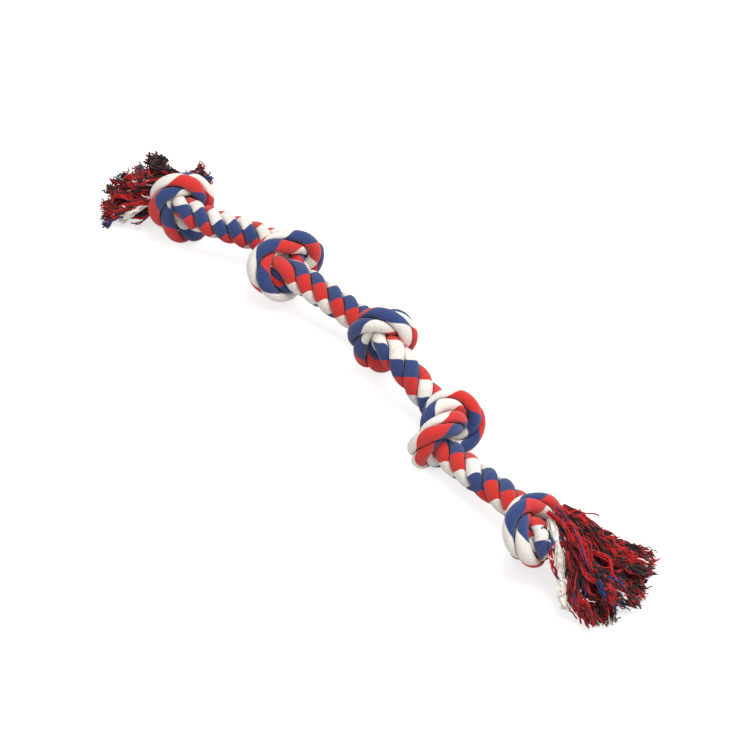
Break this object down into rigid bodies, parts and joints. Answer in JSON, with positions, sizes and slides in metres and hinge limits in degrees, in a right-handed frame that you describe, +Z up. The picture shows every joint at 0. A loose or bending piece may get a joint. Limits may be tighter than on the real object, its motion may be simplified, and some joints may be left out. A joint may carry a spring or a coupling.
{
  "type": "rope dog toy",
  "caption": "Knotted rope tug toy for a dog: one three-strand cotton rope with a row of overhand knots and a frayed tassel at each end.",
  "frame": {"origin": "middle of the toy's footprint, on the surface that it lies on", "axes": "+X along the row of knots towards the knot with the longer tassel, +Y towards the side that the row bows to, +Z up"},
  "size_m": [0.5934, 0.1156, 0.0673],
  "materials": {
    "red_banded_yarn": "soft twisted cotton yarn in bands of red, white and blue, red given here",
    "white_banded_yarn": "soft twisted cotton yarn in bands of red, white and blue, white given here",
    "blue_banded_yarn": "soft twisted cotton yarn in bands of red, white and blue, blue given here",
    "dark_tassel_yarn": "loose crimped yarns in dark brown and red",
    "red_tassel_yarn": "loose crimped red cotton yarns",
    "white_tassel_yarn": "loose white cotton yarns",
    "blue_tassel_yarn": "loose blue cotton yarns"
  },
  "bodies": {
    "knot_3": {"knot_3_strand_a": "red_banded_yarn", "knot_3_strand_b": "white_banded_yarn", "knot_3_strand_c": "blue_banded_yarn"},
    "stretch_2_3": {"stretch_2_3_strand_a": "red_banded_yarn", "stretch_2_3_strand_b": "white_banded_yarn", "stretch_2_3_strand_c": "blue_banded_yarn"},
    "knot_2": {"knot_2_strand_a": "red_banded_yarn", "knot_2_strand_b": "white_banded_yarn", "knot_2_strand_c": "blue_banded_yarn"},
    "stretch_1_2": {"stretch_1_2_strand_a": "red_banded_yarn", "stretch_1_2_strand_b": "white_banded_yarn", "stretch_1_2_strand_c": "blue_banded_yarn"},
    "knot_1": {"knot_1_strand_a": "red_banded_yarn", "knot_1_strand_b": "white_banded_yarn", "knot_1_strand_c": "blue_banded_yarn"},
    "far_neck": {"far_neck_strand_a": "red_banded_yarn", "far_neck_strand_b": "white_banded_yarn", "far_neck_strand_c": "blue_banded_yarn"},
    "far_tassel": {"far_tassel_white_yarns": "white_tassel_yarn", "far_tassel_strand_a_yarns": "dark_tassel_yarn", "far_tassel_strand_b_yarns": "dark_tassel_yarn", "far_tassel_strand_c_yarns": "dark_tassel_yarn", "far_tassel_blue_yarns": "blue_tassel_yarn", "far_tassel_red_yarns": "red_tassel_yarn"},
    "stretch_3_4": {"stretch_3_4_strand_a": "red_banded_yarn", "stretch_3_4_strand_b": "white_banded_yarn", "stretch_3_4_strand_c": "blue_banded_yarn"},
    "knot_4": {"knot_4_strand_a": "red_banded_yarn", "knot_4_strand_b": "white_banded_yarn", "knot_4_strand_c": "blue_banded_yarn"},
    "stretch_4_5": {"stretch_4_5_strand_a": "red_banded_yarn", "stretch_4_5_strand_b": "white_banded_yarn", "stretch_4_5_strand_c": "blue_banded_yarn"},
    "knot_5": {"knot_5_strand_a": "red_banded_yarn", "knot_5_strand_b": "white_banded_yarn", "knot_5_strand_c": "blue_banded_yarn"},
    "near_neck": {"near_neck_strand_a": "red_banded_yarn", "near_neck_strand_b": "white_banded_yarn", "near_neck_strand_c": "blue_banded_yarn"},
    "near_tassel": {"near_tassel_white_yarns": "white_tassel_yarn", "near_tassel_strand_a_yarns": "dark_tassel_yarn", "near_tassel_strand_b_yarns": "dark_tassel_yarn", "near_tassel_strand_c_yarns": "dark_tassel_yarn", "near_tassel_blue_yarns": "blue_tassel_yarn", "near_tassel_red_yarns": "red_tassel_yarn"}
  },
  "joints": [
    {"name": "bend_2_3_sideways", "type": "hinge", "parent": "knot_3", "child": "stretch_2_3", "pos_m": [-0.04597, 0.02369, 0.02658], "axis": [0, 0, 1], "range_deg": [-40, 40], "deforming": ["stretch_2_3_strand_a", "stretch_2_3_strand_b", "stretch_2_3_strand_c"]},
    {"name": "bend_2_3_lift", "type": "hinge", "parent": "stretch_2_3", "child": "knot_2", "pos_m": [-0.07694, 0.01552, 0.03245], "axis": [-0.2634, 0.9647, 0], "range_deg": [-40, 40], "deforming": ["stretch_2_3_strand_a", "stretch_2_3_strand_b", "stretch_2_3_strand_c"]},
    {"name": "bend_1_2_sideways", "type": "hinge", "parent": "knot_2", "child": "stretch_1_2", "pos_m": [-0.15386, 0.01516, 0.02912], "axis": [0, 0, 1], "range_deg": [-40, 40], "deforming": ["stretch_1_2_strand_a", "stretch_1_2_strand_b", "stretch_1_2_strand_c"]},
    {"name": "bend_1_2_lift", "type": "hinge", "parent": "stretch_1_2", "child": "knot_1", "pos_m": [-0.1779, -0.00246, 0.03517], "axis": [-0.5742, 0.8188, 0], "range_deg": [-40, 40], "deforming": ["stretch_1_2_strand_a", "stretch_1_2_strand_b", "stretch_1_2_strand_c"]},
    {"name": "bend_3_4_sideways", "type": "hinge", "parent": "knot_3", "child": "stretch_3_4", "pos_m": [0.029, 0.01576, 0.03499], "axis": [0, 0, 1], "range_deg": [-40, 40], "deforming": ["stretch_3_4_strand_a", "stretch_3_4_strand_b", "stretch_3_4_strand_c"]},
    {"name": "bend_3_4_lift", "type": "hinge", "parent": "stretch_3_4", "child": "knot_4", "pos_m": [0.05322, 0.01638, 0.02417], "axis": [0.0248, -0.9997, 0], "range_deg": [-40, 40], "deforming": ["stretch_3_4_strand_a", "stretch_3_4_strand_b", "stretch_3_4_strand_c"]},
    {"name": "bend_4_5_sideways", "type": "hinge", "parent": "knot_4", "child": "stretch_4_5", "pos_m": [0.12775, -0.00475, 0.02185], "axis": [0, 0, 1], "range_deg": [-40, 40], "deforming": ["stretch_4_5_strand_a", "stretch_4_5_strand_b", "stretch_4_5_strand_c"]},
    {"name": "bend_4_5_lift", "type": "hinge", "parent": "stretch_4_5", "child": "knot_5", "pos_m": [0.16028, -0.00222, 0.02447], "axis": [0.0621, -0.9981, 0], "range_deg": [-40, 40], "deforming": ["stretch_4_5_strand_a", "stretch_4_5_strand_b", "stretch_4_5_strand_c"]},
    {"name": "far_tassel_sweep", "type": "hinge", "parent": "knot_1", "child": "far_neck", "pos_m": [-0.23798, -0.0108, 0.01939], "axis": [0, 0, 1], "range_deg": [-30, 30], "deforming": ["far_neck_strand_a", "far_neck_strand_b", "far_neck_strand_c"]},
    {"name": "far_tassel_lift", "type": "hinge", "parent": "far_neck", "child": "far_tassel", "pos_m": [-0.24358, -0.01276, 0.02024], "axis": [-0.3305, 0.9438, 0], "range_deg": [-45, 60], "deforming": ["far_neck_strand_a", "far_neck_strand_b", "far_neck_strand_c", "far_tassel_white_yarns", "far_tassel_strand_a_yarns", "far_tassel_strand_b_yarns", "far_tassel_strand_c_yarns", "far_tassel_blue_yarns", "far_tassel_red_yarns"]},
    {"name": "near_tassel_sweep", "type": "hinge", "parent": "knot_5", "child": "near_neck", "pos_m": [0.22386, -0.01437, 0.03902], "axis": [0, 0, 1], "range_deg": [-30, 30], "deforming": ["near_neck_strand_a", "near_neck_strand_b", "near_neck_strand_c"]},
    {"name": "near_tassel_lift", "type": "hinge", "parent": "near_neck", "child": "near_tassel", "pos_m": [0.22979, -0.01472, 0.0382], "axis": [-0.0583, -0.9983, 0], "range_deg": [-45, 60], "deforming": ["near_neck_strand_a", "near_neck_strand_b", "near_neck_strand_c", "near_tassel_white_yarns", "near_tassel_strand_a_yarns", "near_tassel_strand_b_yarns", "near_tassel_strand_c_yarns", "near_tassel_blue_yarns", "near_tassel_red_yarns"]}
  ]
}
